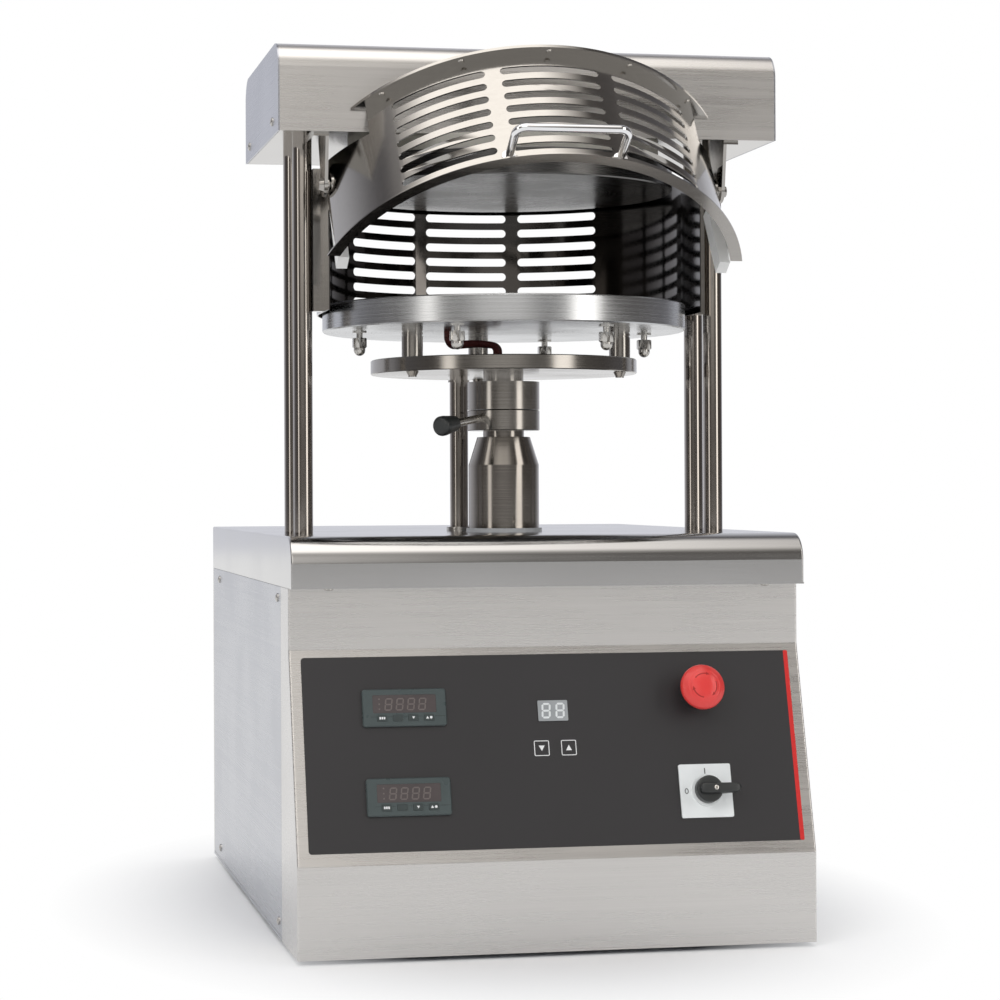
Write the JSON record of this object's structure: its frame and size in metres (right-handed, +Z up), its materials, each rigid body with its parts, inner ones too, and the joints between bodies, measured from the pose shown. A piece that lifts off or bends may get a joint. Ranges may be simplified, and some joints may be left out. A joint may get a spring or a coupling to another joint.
{
  "type": "pizza dough press",
  "caption": "Heated pizza dough press with a brushed stainless body, sloping control panel, rising lower platen on a ram and a slotted guard that hinges up",
  "frame": {"origin": "Centre of the base tray's underside, 4 mm above the surface the rubber feet stand on", "axes": "+X is the machine's right seen from the front, +Y runs to the back, +Z is up"},
  "size_m": [0.4744, 0.7422, 0.8185],
  "materials": {
    "stainless_brushed": "brushed stainless sheet",
    "mild_steel": "grey primed steel inside the body",
    "screw_steel": "zinc plated steel",
    "polished_steel": "ground and polished steel rod",
    "turned_steel": "turned stainless steel",
    "platen_aluminium": "turned aluminium with fine concentric marks",
    "insulation_board": "pale mineral board",
    "foot_rubber": "black rubber",
    "black_plastic": "black moulded plastic",
    "film_dark": "printed film, charcoal black",
    "key_plastic": "dark grey keys",
    "stem_plastic": "grey stem",
    "red_plastic": "red mushroom head",
    "white_plastic": "white moulded plastic",
    "lead_sleeve": "dark red braided sleeve"
  },
  "bodies": {
    "frame": {"base_tray": "stainless_brushed", "base_frame": "mild_steel", "front_panel": "stainless_brushed", "side_panel_left": "stainless_brushed", "side_panel_right": "stainless_brushed", "rear_panel": "stainless_brushed", "mains_gland": "black_plastic", "top_cover": "stainless_brushed", "foot_front_left": "foot_rubber", "foot_rear_left": "foot_rubber", "foot_front_right": "foot_rubber", "foot_rear_right": "foot_rubber", "panel_screws": "screw_steel", "control_film": "film_dark", "upper_controller": "black_plastic", "lower_controller": "black_plastic", "timer_display": "black_plastic", "stop_collar": "black_plastic", "switch_plate": "white_plastic", "column_front_left": "polished_steel", "column_rear_left": "polished_steel", "column_front_right": "polished_steel", "column_rear_right": "polished_steel", "head_beam": "mild_steel", "head_cover": "stainless_brushed", "head_end_left": "stainless_brushed", "head_end_right": "stainless_brushed", "head_screws": "screw_steel", "upper_insulation": "insulation_board", "upper_platen": "platen_aluminium", "lift_cylinder": "mild_steel", "guide_bush": "screw_steel", "fixed_guard": "stainless_brushed", "guard_rails": "mild_steel", "guard_strut_left": "stainless_brushed", "guard_strut_right": "stainless_brushed"},
    "ram_body": {"ram": "polished_steel"},
    "adjuster": {"adjuster_ring": "turned_steel", "adjuster_lever": "screw_steel", "lever_grip": "black_plastic"},
    "platens": {"lower_platen": "platen_aluminium", "spacer_posts": "turned_steel", "ram_disc": "turned_steel", "levelling_nuts": "screw_steel", "heater_leads": "lead_sleeve", "guide_rod": "polished_steel"},
    "guard": {"moving_guard": "stainless_brushed", "guard_handle": "polished_steel", "guard_buffers": "white_plastic"},
    "stem": {"stop_stem": "stem_plastic"},
    "mushroom": {"stop_button": "red_plastic"},
    "knob": {"switch_knob": "black_plastic"},
    "upper_key_1_body": {"upper_key_1": "key_plastic"},
    "upper_key_2_body": {"upper_key_2": "key_plastic"},
    "upper_key_3_body": {"upper_key_3": "key_plastic"},
    "upper_key_4_body": {"upper_key_4": "key_plastic"},
    "lower_key_1_body": {"lower_key_1": "key_plastic"},
    "lower_key_2_body": {"lower_key_2": "key_plastic"},
    "lower_key_3_body": {"lower_key_3": "key_plastic"},
    "lower_key_4_body": {"lower_key_4": "key_plastic"}
  },
  "joints": [
    {"name": "lift", "type": "slide", "parent": "frame", "child": "ram_body", "axis": [0, 0, 1], "range_m": [0, 0.106]},
    {"name": "height_adjust", "type": "hinge", "parent": "ram_body", "child": "adjuster", "pos_m": [0, -0.108, 0.474], "axis": [0, 0, 1], "range_deg": [0, 225]},
    {"name": "plate_rise", "type": "slide", "parent": "ram_body", "child": "platens", "axis": [0, 0, 1], "range_m": [0, 0.0025]},
    {"name": "guard_hinge", "type": "hinge", "parent": "frame", "child": "guard", "pos_m": [0, -0.2035, 0.687], "axis": [1, 0, 0], "range_deg": [0, 34]},
    {"name": "stop_push", "type": "slide", "parent": "frame", "child": "stem", "axis": [0, 0.9637, -0.2671], "range_m": [0, 0.0045]},
    {"name": "stop_twist", "type": "hinge", "parent": "stem", "child": "mushroom", "pos_m": [0.1342, -0.31501, 0.228], "axis": [0, 0.9637, -0.2671], "range_deg": [0, 45]},
    {"name": "switch_turn", "type": "hinge", "parent": "frame", "child": "knob", "pos_m": [0.1362, -0.32941, 0.1386], "axis": [0, 0.9637, -0.2671], "range_deg": [0, 90]},
    {"name": "upper_key_1_press", "type": "slide", "parent": "frame", "child": "upper_key_1_body", "axis": [0, 0.9637, -0.2671], "range_m": [0, 0.0006], "stiffness_N_per_m": 400},
    {"name": "upper_key_2_press", "type": "slide", "parent": "frame", "child": "upper_key_2_body", "axis": [0, 0.9637, -0.2671], "range_m": [0, 0.0006], "stiffness_N_per_m": 400},
    {"name": "upper_key_3_press", "type": "slide", "parent": "frame", "child": "upper_key_3_body", "axis": [0, 0.9637, -0.2671], "range_m": [0, 0.0006], "stiffness_N_per_m": 400},
    {"name": "upper_key_4_press", "type": "slide", "parent": "frame", "child": "upper_key_4_body", "axis": [0, 0.9637, -0.2671], "range_m": [0, 0.0006], "stiffness_N_per_m": 400},
    {"name": "lower_key_1_press", "type": "slide", "parent": "frame", "child": "lower_key_1_body", "axis": [0, 0.9637, -0.2671], "range_m": [0, 0.0006], "stiffness_N_per_m": 400},
    {"name": "lower_key_2_press", "type": "slide", "parent": "frame", "child": "lower_key_2_body", "axis": [0, 0.9637, -0.2671], "range_m": [0, 0.0006], "stiffness_N_per_m": 400},
    {"name": "lower_key_3_press", "type": "slide", "parent": "frame", "child": "lower_key_3_body", "axis": [0, 0.9637, -0.2671], "range_m": [0, 0.0006], "stiffness_N_per_m": 400},
    {"name": "lower_key_4_press", "type": "slide", "parent": "frame", "child": "lower_key_4_body", "axis": [0, 0.9637, -0.2671], "range_m": [0, 0.0006], "stiffness_N_per_m": 400}
  ],
  "couplings": [
    {"joint": "height_adjust", "follows": "plate_rise", "rad_per_m": 1570.8}
  ]
}
